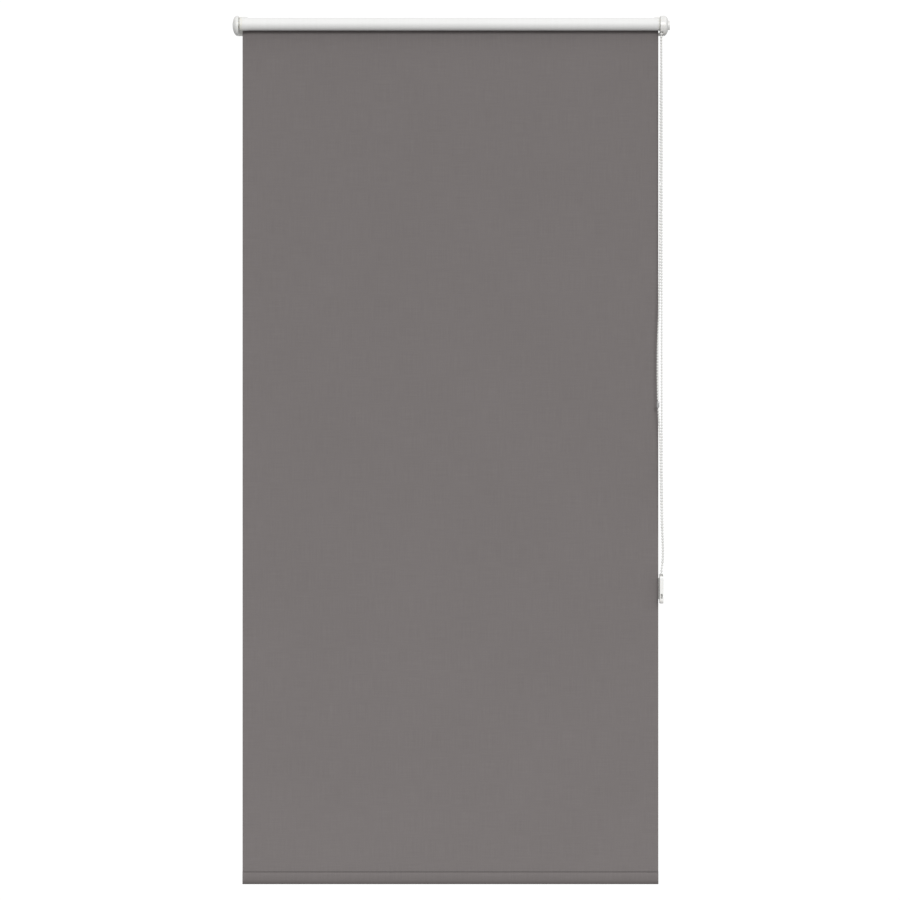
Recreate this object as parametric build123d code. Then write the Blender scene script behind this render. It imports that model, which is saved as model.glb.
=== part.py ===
from build123d import *
import os
from math import cos, pi, radians, sin, tan

# Roller blind, 900 mm wide, with a 25 mm tube and a bead-chain drive.
# Millimetres. X runs along the roller, Y points at the wall, Z is up.
# The origin is the centre of the four bracket screws, on the wall's face.

# Overall layout
OVERALL_WIDTH = 900.0
AXIS_Y = -30.0              # roller axis, in front of the wall
AXIS_Z = 2.5                # roller axis, above the brackets' centre line
FABRIC_LEFT = -430.0
FABRIC_RIGHT = 427.0
FABRIC_DROP = 1771.0        # roller axis to the bottom edge of the hem
RAISED_GAP = 27.0           # roller axis to the hem's seam when raised
CLEARANCE = 0.05            # radial, for every running fit

# Tube and fabric
TUBE_RADIUS = 12.5
TUBE_WALL = 1.0
FABRIC_THICK = 0.30
LAP_PITCH = 0.32            # one lap of fabric on the roll, with its air
ROLL_RADIUS = 13.20         # outer face of the fabric where it leaves the roll
TAPE_SEAT = 12.2
TAPE_THICK = 0.15
TAPE_WIDTH = 4.4
TAPE_ANGLE = 23.0

# Hem and bottom bar
HEM_HEIGHT = 27.0
HEM_THICK = 5.4
SEAM_HEIGHT = 3.0
BAR_HEIGHT = 21.0
BAR_THICK = 4.2
BAR_WALL = 1.0
CAP_FLANGE = 1.0
CAP_INSERT = 10.0

# Wall brackets and their covers
BRACKET_RADIUS = 20.0
PLATE_THICK = 3.0
FOOT_WIDTH = 22.0
FOOT_THICK = 3.0
SCREW_X = 428.0             # screw holes, either side of the middle
SCREW_PITCH = 22.0          # vertical distance of one bracket's two holes
SCREW_HOLE_RADIUS = 2.25
GUSSET_LEG = 7.0
GUSSET_THICK = 2.0
COVER_DEPTH = 9.0
COVER_WALL = 1.6
PEG_RADIUS = 1.5
PEG_HEIGHT = 13.0           # pegs, above and below the brackets' centre line
LEFT_PLATE = -441.0         # outer face of the left side plate
RIGHT_PLATE = 440.5         # outer face of the right side plate

# Idle end, on the left
PLUG_FLANGE_RADIUS = 13.6
PLUG_FLANGE_X = -435.6
PLUG_END_X = -405.0
PLUG_WALL_X = -427.0
PLUG_BORE = 4.5
PIN_RADIUS = 3.0
PIN_HEAD_RADIUS = 4.3
PIN_HEAD = 2.0
PIN_TIP_X = -441.0
PIN_SPRING_LENGTH = 14.0
PIN_SPRING_RADIUS = 3.2
PIN_SPRING_WIRE = 0.7
PIN_SPRING_TURNS = 7
BUSH_RADIUS = 5.0
BUSH_FLANGE_RADIUS = 6.8
BUSH_FLANGE_X = -436.5

# Bead chain
BEAD_PITCH = 6.0
BEAD_DIAMETER = 4.5
SPROCKET_POCKETS = 12
LOOP_BEADS = 404
CHAIN_X = 432.6             # plane of the sprocket and of the tensioner's wheel
GROOVE_GAP = 0.3

# Drive, on the right
SPROCKET_RADIUS = 13.4
SPROCKET_X = (428.6, 436.1)
CORE_JOURNAL = 7.0
CORE_SPIGOT = 6.0
CORE_END_X = 394.5
CORE_SQUARE = 11.0
ADAPTER_RADIUS = 11.45
ADAPTER_X = (397.0, 428.4)
ADAPTER_CHAMBER = 8.6
WRAP_SPRING_RADIUS = 6.8
WRAP_SPRING_WIRE = 0.9
WRAP_SPRING_PITCH = 1.25
WRAP_SPRING_TURNS = 7
WRAP_SPRING_STARTS = (402.0, 414.0)
GUARD_X = (430.2, 437.5)
GUARD_WALL = 1.8
CORE_SCREW_RADIUS = 2.0

# Chain tensioner
CASE_HEIGHT = 60.0
CASE_FRONT_Y = -47.0
CASE_WALL = 1.2
CASE_EDGE = 0.8
CASE_CAVITY = 5.0
BASE_THICK = 2.5
BASE_LEFT_X = 414.0
BASE_HOLE_X = 420.5
BASE_HOLE_PITCH = 28.0
BASE_HOLE_RADIUS = 2.0
WHEEL_RADIUS = 9.4
WHEEL_WIDTH = 3.0
WHEEL_PIN_RADIUS = 2.0

# Worked out from the sizes above
PITCH_RADIUS = BEAD_PITCH / 2 / sin(pi / SPROCKET_POCKETS)
LOOP_DROP = (LOOP_BEADS * BEAD_PITCH - 2 * pi * PITCH_RADIUS) / 2
WHEEL_Z = AXIS_Z - LOOP_DROP
FRONT_Y = AXIS_Y - PITCH_RADIUS
BACK_Y = AXIS_Y + PITCH_RADIUS
SHEET_BACK = AXIS_Y + ROLL_RADIUS
SHEET_FRONT = SHEET_BACK - FABRIC_THICK
SHEET_MID = (SHEET_BACK + SHEET_FRONT) / 2
HEM_BOTTOM = AXIS_Z - FABRIC_DROP
HEM_TOP = HEM_BOTTOM + HEM_HEIGHT
GROOVE_RADIUS = BEAD_DIAMETER / 2 + GROOVE_GAP
CASE_BOTTOM = WHEEL_Z - PITCH_RADIUS - BEAD_DIAMETER / 2 - GROOVE_GAP - 2 * CASE_WALL
CASE_HALF = CASE_CAVITY / 2 + CASE_WALL
JOINER_Z = (-787.0, -774.0)


def block(x_span, y_span, z_span):
    """A box from its lowest and highest X, Y and Z."""
    centre = [(span[0] + span[1]) / 2 for span in (x_span, y_span, z_span)]
    sides = [span[1] - span[0] for span in (x_span, y_span, z_span)]
    return Pos(*centre) * Box(*sides)


def rod(radius, x_start, x_end, y=AXIS_Y, z=AXIS_Z):
    """A cylinder along X."""
    middle = Pos((x_start + x_end) / 2, y, z)
    return middle * Rot(0, 90, 0) * Cylinder(radius, x_end - x_start)


def wall_hole(radius, x, z, depth):
    """A cylinder along Y that passes through a plate on the wall."""
    return Pos(x, -depth / 2, z) * Rot(90, 0, 0) * Cylinder(radius, depth + 2)


def coil(radius, wire, pitch, turns, x_start):
    """A round-wire spring about the roller axis."""
    path = Helix(pitch, pitch * turns, radius)
    section = Plane(path @ 0, z_dir=path % 0) * Circle(wire / 2)
    spring = sweep(section, path=path, is_frenet=True)
    return Pos(x_start, AXIS_Y, AXIS_Z) * Rot(0, 90, 0) * spring


# ---- wall brackets and covers ----

def side_outline(radius, back_y=0.0):
    """Round in front and straight towards the wall, seen along X."""
    length = back_y - AXIS_Y
    straight = Pos(AXIS_Y + length / 2, 0) * Rectangle(length, 2 * radius)
    return Pos(AXIS_Y, 0) * Circle(radius) + straight


def side_plate(radius, x_start, x_end):
    """A slice of the side outline between two X places."""
    outline = Plane.YZ.offset(x_start) * side_outline(radius)
    return extrude(outline, amount=x_end - x_start)


def gusset(corner_x, direction, z):
    """A small rib in the corner between a side plate and its foot."""
    points = [
        (corner_x, -FOOT_THICK),
        (corner_x + direction * GUSSET_LEG, -FOOT_THICK),
        (corner_x, -FOOT_THICK - GUSSET_LEG),
    ]
    rib = Plane.XY.offset(z - GUSSET_THICK / 2) * make_face(Polyline(*points, close=True))
    return extrude(rib, amount=GUSSET_THICK, dir=(0, 0, 1))


def bracket(outer_x, direction):
    """A side plate with its wall foot; direction points along the roller, inwards."""
    inner_x = outer_x + direction * PLATE_THICK
    foot_x = outer_x + direction * FOOT_WIDTH
    body = side_plate(BRACKET_RADIUS, min(outer_x, inner_x), max(outer_x, inner_x))
    body += block(sorted((outer_x, foot_x)), (-FOOT_THICK, 0), (-BRACKET_RADIUS, BRACKET_RADIUS))
    upright = body.edges().filter_by(Axis.Y).filter_by_position(
        Axis.X, foot_x - 0.1, foot_x + 0.1
    )
    body = fillet(upright, 4.0)
    for z in (-18.0, 18.0):
        body += gusset(inner_x, direction, z)
    for z in (-SCREW_PITCH / 2, SCREW_PITCH / 2):
        body -= wall_hole(SCREW_HOLE_RADIUS, -direction * SCREW_X, z, FOOT_THICK)
    for z in (-PEG_HEIGHT, PEG_HEIGHT):
        body -= rod(PEG_RADIUS + CLEARANCE, outer_x - 2, outer_x + 2, AXIS_Y, z)
    return body


def left_bracket():
    body = bracket(LEFT_PLATE, 1)
    return body - rod(BUSH_RADIUS + 0.02, LEFT_PLATE - 1, LEFT_PLATE + PLATE_THICK + 1)


def right_bracket():
    inner_x = RIGHT_PLATE - PLATE_THICK
    side = CORE_SQUARE + 0.1
    window = Pos(RIGHT_PLATE - PLATE_THICK / 2, AXIS_Y, AXIS_Z) * Box(PLATE_THICK + 2, side, side)
    body = bracket(RIGHT_PLATE, -1) - window
    for z in (-PEG_HEIGHT, PEG_HEIGHT):
        body -= rod(PEG_RADIUS + CLEARANCE, inner_x - 1, inner_x + 1.2, AXIS_Y - 10, z)
    return body


def dome(radius, rim_x, depth, back_y):
    """A solid cap whose section is half an ellipse; depth is signed along X."""
    arc = EllipticalCenterArc((rim_x, 0), abs(depth), radius, start_angle=0, arc_size=90)
    quarter = make_face([arc, Line(arc @ 1, (rim_x, 0)), Line((rim_x, 0), arc @ 0)])
    quarter = Plane.XZ.offset(-AXIS_Y) * quarter
    if depth < 0:
        quarter = mirror(quarter, Plane.YZ.offset(rim_x))
    centre_line = Axis((0, AXIS_Y, 0), (1, 0, 0))
    half = quarter + mirror(quarter, Plane.XY)
    straight = extrude(half, amount=back_y - AXIS_Y, dir=(0, 1, 0))
    return revolve(quarter, centre_line, 360) + straight


def cover(rim_x, direction, radius, depth):
    """A thin domed cap with two pegs that plug into the side plate."""
    shell = dome(radius, rim_x, direction * depth, 0.0)
    shell -= dome(radius - COVER_WALL, rim_x, direction * (depth - COVER_WALL), -COVER_WALL)
    for z in (-PEG_HEIGHT, PEG_HEIGHT):
        ends = sorted((rim_x - direction * 1.6, rim_x + direction * (depth * 0.6)))
        shell += rod(PEG_RADIUS, ends[0], ends[1], AXIS_Y, z)
    return shell


def left_cover():
    return cover(LEFT_PLATE, -1, BRACKET_RADIUS, COVER_DEPTH)


def right_cover():
    """The drive end's cap carries a raised round button in its middle."""
    top_x = OVERALL_WIDTH / 2
    shell = cover(RIGHT_PLATE, 1, BRACKET_RADIUS - 0.6, COVER_DEPTH - 2.0)
    button = rod(9.6, top_x - 4.6, top_x, AXIS_Y, 0)
    button = fillet(button.edges().sort_by(Axis.X)[-1], 1.2)
    return shell + (button - rod(8.0, top_x - 5.0, top_x - 1.4, AXIS_Y, 0))


# ---- idle end ----

def idle_bush():
    body = rod(BUSH_RADIUS, LEFT_PLATE, BUSH_FLANGE_X)
    body += rod(BUSH_FLANGE_RADIUS, LEFT_PLATE + PLATE_THICK, BUSH_FLANGE_X)
    return body - rod(PIN_RADIUS + CLEARANCE, LEFT_PLATE - 1, BUSH_FLANGE_X + 1)


def key_slot(x_start, x_end):
    """Room for the tube's inward rib in a piece that fits inside the tube."""
    return block((x_start, x_end), (AXIS_Y - 2.7, AXIS_Y + 2.7), (AXIS_Z - 12.5, AXIS_Z - 9.3))


def end_plug():
    flange = rod(PLUG_FLANGE_RADIUS, PLUG_FLANGE_X, FABRIC_LEFT)
    flange = fillet(flange.edges().sort_by(Axis.X)[0], 1.4)
    body = flange + rod(ADAPTER_RADIUS, FABRIC_LEFT, PLUG_END_X)
    body -= rod(PLUG_BORE, PLUG_WALL_X, PLUG_END_X + 1)
    body -= rod(PIN_RADIUS + CLEARANCE, PLUG_FLANGE_X - 1, PLUG_WALL_X + 1)
    return body - key_slot(FABRIC_LEFT, PLUG_END_X + 1)


def idle_pin():
    shank = rod(PIN_RADIUS, PIN_TIP_X, PLUG_WALL_X + PIN_HEAD)
    shank = fillet(shank.edges().sort_by(Axis.X)[0], 1.2)
    return shank + rod(PIN_HEAD_RADIUS, PLUG_WALL_X, PLUG_WALL_X + PIN_HEAD)


def pin_spring():
    pitch = (PIN_SPRING_LENGTH - PIN_SPRING_WIRE - 0.2) / PIN_SPRING_TURNS
    start = PLUG_WALL_X + PIN_HEAD + PIN_SPRING_WIRE / 2 + 0.1
    return coil(PIN_SPRING_RADIUS, PIN_SPRING_WIRE, pitch, PIN_SPRING_TURNS, start)


def pin_retainer():
    start = PLUG_WALL_X + PIN_HEAD + PIN_SPRING_LENGTH
    return rod(PLUG_BORE - CLEARANCE, start, start + 3.0)


# ---- roller ----

def flat_strip(thickness, width, x_start, x_end):
    """A strip along the tube that starts at its flat, below the line where the fabric leaves the roll."""
    section = Pos(TAPE_SEAT + thickness / 2, 0) * Rectangle(thickness, width)
    section = Pos(AXIS_Y, AXIS_Z) * Rot(0, 0, -TAPE_ANGLE) * section
    return extrude(Plane.YZ.offset(x_start) * section, amount=x_end - x_start)


def roller_tube():
    tube = rod(TUBE_RADIUS, FABRIC_LEFT, FABRIC_RIGHT)
    tube -= rod(TUBE_RADIUS - TUBE_WALL, FABRIC_LEFT - 1, FABRIC_RIGHT + 1)
    outer = (AXIS_Z - TUBE_RADIUS + 0.3, AXIS_Z - 9.6)
    ends = (FABRIC_LEFT, FABRIC_RIGHT)
    rib = block(ends, (AXIS_Y - 2.5, AXIS_Y + 2.5), outer)
    slot = block((FABRIC_LEFT - 1, FABRIC_RIGHT + 1), (AXIS_Y - 1.5, AXIS_Y + 1.5),
                 (AXIS_Z - TUBE_RADIUS - 1, AXIS_Z - 10.6))
    flat = flat_strip(1.0, 8.0, FABRIC_LEFT - 1, FABRIC_RIGHT + 1)
    return tube + rib - slot - flat


def fabric_tape():
    """Double-sided tape in the tube's flat, under the fabric's inner end."""
    return flat_strip(TAPE_THICK, TAPE_WIDTH, FABRIC_LEFT + 2, FABRIC_RIGHT - 2)


def fabric_roll():
    """One lap of fabric, as two half turns whose centres stand half a lap apart."""
    shift = LAP_PITCH / 4
    outer_radius = ROLL_RADIUS - shift
    inner_radius = outer_radius - FABRIC_THICK
    upper = (AXIS_Y + shift, AXIS_Z)
    lower = (AXIS_Y - shift, AXIS_Z)
    half_lap = LAP_PITCH / 2
    outside = [
        CenterArc(upper, outer_radius, 0, 180),
        CenterArc(lower, outer_radius - half_lap, 180, 180),
    ]
    inside = [
        CenterArc(upper, inner_radius, 0, 180),
        CenterArc(lower, inner_radius - half_lap, 180, 180),
    ]
    ends = [Line(outside[0] @ 0, inside[0] @ 0), Line(outside[1] @ 1, inside[1] @ 1)]
    section = Plane.YZ.offset(FABRIC_LEFT) * make_face(outside + inside + ends)
    return extrude(section, amount=FABRIC_RIGHT - FABRIC_LEFT)


# ---- fabric, hem and bottom bar ----

def fabric_drop():
    ends = (FABRIC_LEFT, FABRIC_RIGHT)
    return block(ends, (SHEET_FRONT, SHEET_BACK), (HEM_TOP, AXIS_Z))


def hem_section(grow):
    """The pocket's outline, round below and pinched to the seam above."""
    half = HEM_THICK / 2 - FABRIC_THICK + grow
    bottom = HEM_BOTTOM + FABRIC_THICK - grow + half
    shoulder = HEM_TOP - SEAM_HEIGHT - 1.5
    pinch = HEM_TOP - SEAM_HEIGHT
    left = Line((SHEET_MID - half, bottom), (SHEET_MID - half, shoulder))
    right = Line((SHEET_MID + half, shoulder), (SHEET_MID + half, bottom))
    under = RadiusArc(right @ 1, left @ 0, half)
    slope_left = Line(left @ 1, (SHEET_MID - grow, pinch))
    slope_right = Line((SHEET_MID + grow, pinch), right @ 0)
    edges = [left, slope_left, slope_right, right, under]
    if grow:
        edges.append(Line(slope_left @ 1, slope_right @ 0))
    return Plane.YZ.offset(FABRIC_LEFT) * make_face(edges)


def fabric_hem():
    width = FABRIC_RIGHT - FABRIC_LEFT
    pocket = extrude(hem_section(FABRIC_THICK), amount=width)
    pocket -= extrude(hem_section(0), amount=width)
    seam_y = (SHEET_MID - FABRIC_THICK, SHEET_MID + FABRIC_THICK)
    seam = block((FABRIC_LEFT, FABRIC_RIGHT), seam_y, (HEM_TOP - SEAM_HEIGHT, HEM_TOP))
    return pocket + seam


def bar_z():
    """The bottom bar's lowest and highest Z."""
    low = HEM_BOTTOM + FABRIC_THICK + 0.5
    return low, low + BAR_HEIGHT


def bottom_bar():
    low, high = bar_z()
    ends = (FABRIC_LEFT + CAP_FLANGE, FABRIC_RIGHT - CAP_FLANGE)
    half = BAR_THICK / 2
    bar = block(ends, (SHEET_MID - half, SHEET_MID + half), (low, high))
    bar = fillet(bar.edges().filter_by(Axis.X), 1.6)
    inner_y = (SHEET_MID - half + BAR_WALL, SHEET_MID + half - BAR_WALL)
    return bar - block((ends[0] - 1, ends[1] + 1), inner_y, (low + BAR_WALL, high - BAR_WALL))


def bar_cap(flange_x, direction):
    """An end cap with a flange and a tongue inside the bar; direction points inwards."""
    low, high = bar_z()
    half = BAR_THICK / 2
    inner_x = flange_x + direction * CAP_FLANGE
    tongue_x = inner_x + direction * CAP_INSERT
    flange = block(sorted((flange_x, inner_x)), (SHEET_MID - half, SHEET_MID + half), (low, high))
    flange = fillet(flange.edges().filter_by(Axis.X), 1.6)
    slack = BAR_WALL + CLEARANCE
    tongue_y = (SHEET_MID - half + slack, SHEET_MID + half - slack)
    return flange + block(sorted((inner_x, tongue_x)), tongue_y, (low + slack, high - slack))


# ---- drive ----

def drive_core():
    """The fixed axle of the drive, keyed into the bracket by its square end."""
    plate_x = RIGHT_PLATE - PLATE_THICK
    body = rod(CORE_JOURNAL, ADAPTER_X[1] + 0.1, plate_x)
    body += rod(CORE_SPIGOT, CORE_END_X, ADAPTER_X[1] + 0.2)
    square_x = (plate_x, RIGHT_PLATE)
    half = CORE_SQUARE / 2
    body += block(square_x, (AXIS_Y - half, AXIS_Y + half), (AXIS_Z - half, AXIS_Z + half))
    groove = rod(CORE_SPIGOT + 1, 396.0, 396.9) - rod(4.2, 395.0, 398.0)
    return body - groove - rod(CORE_SCREW_RADIUS + CLEARANCE, 420.0, RIGHT_PLATE + 1)


def core_clip():
    """A snap ring in the core's groove that keeps the adapter on."""
    ring = rod(7.4, 396.05, 396.85) - rod(4.25, 395.0, 398.0)
    return ring - block((395, 398), (AXIS_Y - 2.6, AXIS_Y + 2.6), (AXIS_Z - 9, AXIS_Z))


def core_screw():
    head = rod(3.7, RIGHT_PLATE, RIGHT_PLATE + 2.2)
    head = fillet(head.edges().sort_by(Axis.X)[-1], 0.9)
    screw = head + rod(CORE_SCREW_RADIUS, 422.0, RIGHT_PLATE)
    for sides in ((0.7, 3.6), (3.6, 0.7)):
        recess = Pos(RIGHT_PLATE + 2.2, AXIS_Y, AXIS_Z) * Box(2.2, *sides)
        screw -= recess
    return screw


def tube_adapter():
    """The hub that drives the tube, with the spring chamber inside."""
    body = rod(ADAPTER_RADIUS, ADAPTER_X[0], FABRIC_RIGHT)
    body += rod(TUBE_RADIUS - 0.1, FABRIC_RIGHT, ADAPTER_X[1])
    body -= rod(ADAPTER_CHAMBER, ADAPTER_X[0] + 3.0, ADAPTER_X[1] + 1)
    body -= rod(CORE_SPIGOT + CLEARANCE, ADAPTER_X[0] - 1, ADAPTER_X[0] + 4)
    return body - key_slot(ADAPTER_X[0] - 1, FABRIC_RIGHT)


def wrap_spring(start_x):
    return coil(
        WRAP_SPRING_RADIUS, WRAP_SPRING_WIRE, WRAP_SPRING_PITCH, WRAP_SPRING_TURNS, start_x
    )


def sprocket():
    """A grooved wheel with a pocket for each bead and a finger between the springs' ends."""
    body = rod(SPROCKET_RADIUS, *SPROCKET_X)
    groove = Pos(PITCH_RADIUS, 0) * Circle(GROOVE_RADIUS)
    groove += Pos(PITCH_RADIUS + 2, 0) * Rectangle(4, 2 * GROOVE_RADIUS)
    groove = Plane((CHAIN_X, AXIS_Y, AXIS_Z), x_dir=(0, 1, 0), z_dir=(0, 0, 1)) * groove
    body -= revolve(groove, Axis((0, AXIS_Y, AXIS_Z), (1, 0, 0)), 360)
    for pocket in range(SPROCKET_POCKETS):
        angle = 2 * pi * (pocket + 0.5) / SPROCKET_POCKETS
        y = AXIS_Y + PITCH_RADIUS * cos(angle)
        z = AXIS_Z + PITCH_RADIUS * sin(angle)
        body -= Pos(CHAIN_X, y, z) * Sphere(GROOVE_RADIUS + 0.35)
    finger = rod(8.4, 404.0, SPROCKET_X[0]) - rod(7.6, 403.0, SPROCKET_X[0])
    finger &= block((403.0, 430.0), (AXIS_Y - 4, AXIS_Y + 4), (AXIS_Z, AXIS_Z + 9))
    return body + finger - rod(CORE_JOURNAL + CLEARANCE, 427.0, 437.0)


def chain_guard():
    """A cup round the sprocket, open towards the roller, with two slots for the chain."""
    floor_x = GUARD_X[1] - 1.2
    cup = rod(BRACKET_RADIUS, *GUARD_X, AXIS_Y, 0)
    cup = fillet(cup.edges().sort_by(Axis.X)[0], 0.8)
    cup -= rod(BRACKET_RADIUS - GUARD_WALL, GUARD_X[0] - 1, floor_x, AXIS_Y, 0)
    cup -= rod(CORE_JOURNAL + 0.3, floor_x - 1, GUARD_X[1] + 1)
    for y in (FRONT_Y, BACK_Y):
        cup -= block((GUARD_X[0] - 1, floor_x), (y - 3.2, y + 3.2), (-BRACKET_RADIUS - 1, -8))
    for z in (-PEG_HEIGHT, PEG_HEIGHT):
        cup += rod(PEG_RADIUS, GUARD_X[1] - 1, GUARD_X[1] + 1.0, AXIS_Y - 10, z)
    return cup


# ---- chain ----

def chain_route():
    """The chain's free run: down in front, round the tensioner's wheel, up behind."""
    bottom = WHEEL_Z - PITCH_RADIUS
    return [
        (CHAIN_X, FRONT_Y, AXIS_Z),
        (CHAIN_X, FRONT_Y, -30.0),
        (430.5, -42.4, -120.0),
        (430.1, -43.4, -540.0),
        (425.6, -44.6, -690.0),
        (425.2, -44.4, -793.0),
        (429.9, -43.8, -836.0),
        (431.6, -42.8, -1010.0),
        (435.2, -42.2, -1082.0),
        (CHAIN_X, FRONT_Y, -1120.0),
        (CHAIN_X, FRONT_Y, bottom),
        (CHAIN_X, BACK_Y, bottom),
        (CHAIN_X, BACK_Y, -1120.0),
        (435.6, -18.1, -1080.0),
        (434.2, -18.3, -1004.0),
        (433.5, -16.9, -560.0),
        (434.4, -18.2, -120.0),
        (CHAIN_X, BACK_Y, -32.0),
        (CHAIN_X, BACK_Y, AXIS_Z),
    ]


def pull_chain():
    """The free chain as one smooth tube, as thick as its beads."""
    route = [Vector(*point) for point in chain_route()]
    radii = []
    for before, here, after in zip(route, route[1:], route[2:]):
        turn = (here - before).get_angle(after - here)
        shorter = min((here - before).length, (after - here).length)
        pulley = turn > 60
        radii.append(PITCH_RADIUS - 0.01 if pulley else 0.45 * shorter / tan(radians(turn / 2)))
    print("chain bend radii, mm:", [round(radius, 1) for radius in radii])
    path = FilletPolyline(*route, radius=radii)
    section = Plane(path @ 0, z_dir=path % 0) * Circle(BEAD_DIAMETER / 2)
    tube = sweep(section, path=path)
    expected = pi * BEAD_DIAMETER ** 2 / 4 * path.length
    print(f"chain length {path.length:.1f} mm, volume over section x length {tube.volume / expected:.4f}")
    return tube


def chain_wrap():
    """The chain over the top of the sprocket."""
    section = Plane((CHAIN_X, FRONT_Y, AXIS_Z), z_dir=(0, 0, 1)) * Circle(BEAD_DIAMETER / 2)
    return revolve(section, Axis((0, AXIS_Y, AXIS_Z), (-1, 0, 0)), 180)


def chain_joiner():
    """The snap link that closes the chain's loop."""
    low, high = JOINER_Z
    shape = Pos(425.3, -44.45, (low + high) / 2) * Cylinder(2.9, high - low)
    return fillet(shape.edges().filter_by(GeomType.CIRCLE), 0.8)


# ---- chain tensioner ----

def tensioner_case():
    """A narrow box on the wall that holds the loop's wheel."""
    top = CASE_BOTTOM + CASE_HEIGHT
    case = block((CHAIN_X - CASE_HALF, CHAIN_X + CASE_HALF), (CASE_FRONT_Y, -BASE_THICK),
                 (CASE_BOTTOM, top))
    front = case.edges().filter_by(Axis.X).sort_by(Axis.Y)[:2]
    case = fillet(front, 8.0)
    rims = [edge for side in case.faces().filter_by(Axis.X) for edge in side.edges()
            if edge.center().Y < -BASE_THICK - 0.1]
    case = fillet(rims, CASE_EDGE)
    half = CASE_CAVITY / 2
    back_y = BACK_Y + BEAD_DIAMETER / 2 + 1.6
    cavity = block((CHAIN_X - half, CHAIN_X + half), (CASE_FRONT_Y + CASE_WALL, back_y),
                   (CASE_BOTTOM + CASE_WALL, top + 20))
    lower_front = cavity.edges().filter_by(Axis.X).sort_by(Axis.Y)[:2].sort_by(Axis.Z)[0]
    cavity = fillet(lower_front, 8.0 - CASE_WALL)
    window = block((CHAIN_X - 1.8, CHAIN_X + 1.8), (CASE_FRONT_Y - 1, CASE_FRONT_Y + 3),
                   (WHEEL_Z - 6, WHEEL_Z + 3))
    pin_hole = rod(WHEEL_PIN_RADIUS + 0.01, CHAIN_X - 5, CHAIN_X + 5, AXIS_Y, WHEEL_Z)
    return case - cavity - window - pin_hole


def tensioner_base():
    top = CASE_BOTTOM + CASE_HEIGHT
    base = block((BASE_LEFT_X, CHAIN_X + CASE_HALF), (-BASE_THICK, 0), (CASE_BOTTOM + 8, top - 8))
    corners = base.edges().filter_by(Axis.Y).sort_by(Axis.X)[:2]
    base = fillet(corners, 5.0)
    middle = CASE_BOTTOM + CASE_HEIGHT / 2
    for z in (middle - BASE_HOLE_PITCH / 2, middle + BASE_HOLE_PITCH / 2):
        base -= wall_hole(BASE_HOLE_RADIUS, BASE_HOLE_X, z, BASE_THICK)
    return base


def tensioner_wheel():
    half = WHEEL_WIDTH / 2
    wheel = rod(WHEEL_RADIUS, CHAIN_X - half, CHAIN_X + half, AXIS_Y, WHEEL_Z)
    groove = Plane((CHAIN_X, AXIS_Y, WHEEL_Z), x_dir=(0, 1, 0), z_dir=(0, 0, 1)) * (
        Pos(PITCH_RADIUS, 0) * Circle(GROOVE_RADIUS)
    )
    wheel -= revolve(groove, Axis((0, AXIS_Y, WHEEL_Z), (1, 0, 0)), 360)
    bore = rod(WHEEL_PIN_RADIUS + CLEARANCE, CHAIN_X - 5, CHAIN_X + 5, AXIS_Y, WHEEL_Z)
    for spoke in range(5):
        angle = 2 * pi * spoke / 5
        y = AXIS_Y + 5.4 * cos(angle)
        z = WHEEL_Z + 5.4 * sin(angle)
        wheel -= rod(1.5, CHAIN_X - 5, CHAIN_X + 5, y, z)
    return wheel - bore


def tensioner_pin():
    return rod(WHEEL_PIN_RADIUS, CHAIN_X - CASE_HALF, CHAIN_X + CASE_HALF, AXIS_Y, WHEEL_Z)


PIECES = {
    "left_bracket": left_bracket,
    "left_cover": left_cover,
    "idle_bush": idle_bush,
    "idle_pin": idle_pin,
    "pin_spring": pin_spring,
    "pin_retainer": pin_retainer,
    "end_plug": end_plug,
    "roller_tube": roller_tube,
    "fabric_tape": fabric_tape,
    "fabric_roll": fabric_roll,
    "fabric_drop": fabric_drop,
    "fabric_hem": fabric_hem,
    "bottom_bar": bottom_bar,
    "bar_cap_left": lambda: bar_cap(FABRIC_LEFT, 1),
    "bar_cap_right": lambda: bar_cap(FABRIC_RIGHT, -1),
    "right_bracket": right_bracket,
    "right_cover": right_cover,
    "drive_core": drive_core,
    "core_clip": core_clip,
    "core_screw": core_screw,
    "tube_adapter": tube_adapter,
    "wrap_spring_inner": lambda: wrap_spring(WRAP_SPRING_STARTS[0]),
    "wrap_spring_outer": lambda: wrap_spring(WRAP_SPRING_STARTS[1]),
    "sprocket": sprocket,
    "chain_guard": chain_guard,
    "pull_chain": pull_chain,
    "chain_wrap": chain_wrap,
    "chain_joiner": chain_joiner,
    "tensioner_case": tensioner_case,
    "tensioner_base": tensioner_base,
    "tensioner_wheel": tensioner_wheel,
    "tensioner_pin": tensioner_pin,
}

os.makedirs("parts", exist_ok=True)
for node, make in PIECES.items():
    solids = make().solids()
    piece = solids[0] if len(solids) == 1 else Compound(solids)
    export_step(piece, f"parts/{node}.step")
print(f"bar travel {(AXIS_Z - RAISED_GAP - HEM_TOP):.1f} mm")
print(f"roller turn per bar travel {1000 / (ROLL_RADIUS - FABRIC_THICK / 2):.4f} rad/m")
print(f"wheel centre z {WHEEL_Z:.3f}, case middle z {CASE_BOTTOM + CASE_HEIGHT / 2:.3f}")
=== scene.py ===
"""Looks of a chain-driven roller blind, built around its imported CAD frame.

All sizes are in metres in the frame's own axes: X along the roller, Y into the wall and Z up.
"""

import logging
import math
from dataclasses import dataclass
from enum import Enum
from typing import Optional, Protocol, Sequence, Union

import bmesh
import bpy
from mathutils import Matrix, Vector, noise


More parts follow.
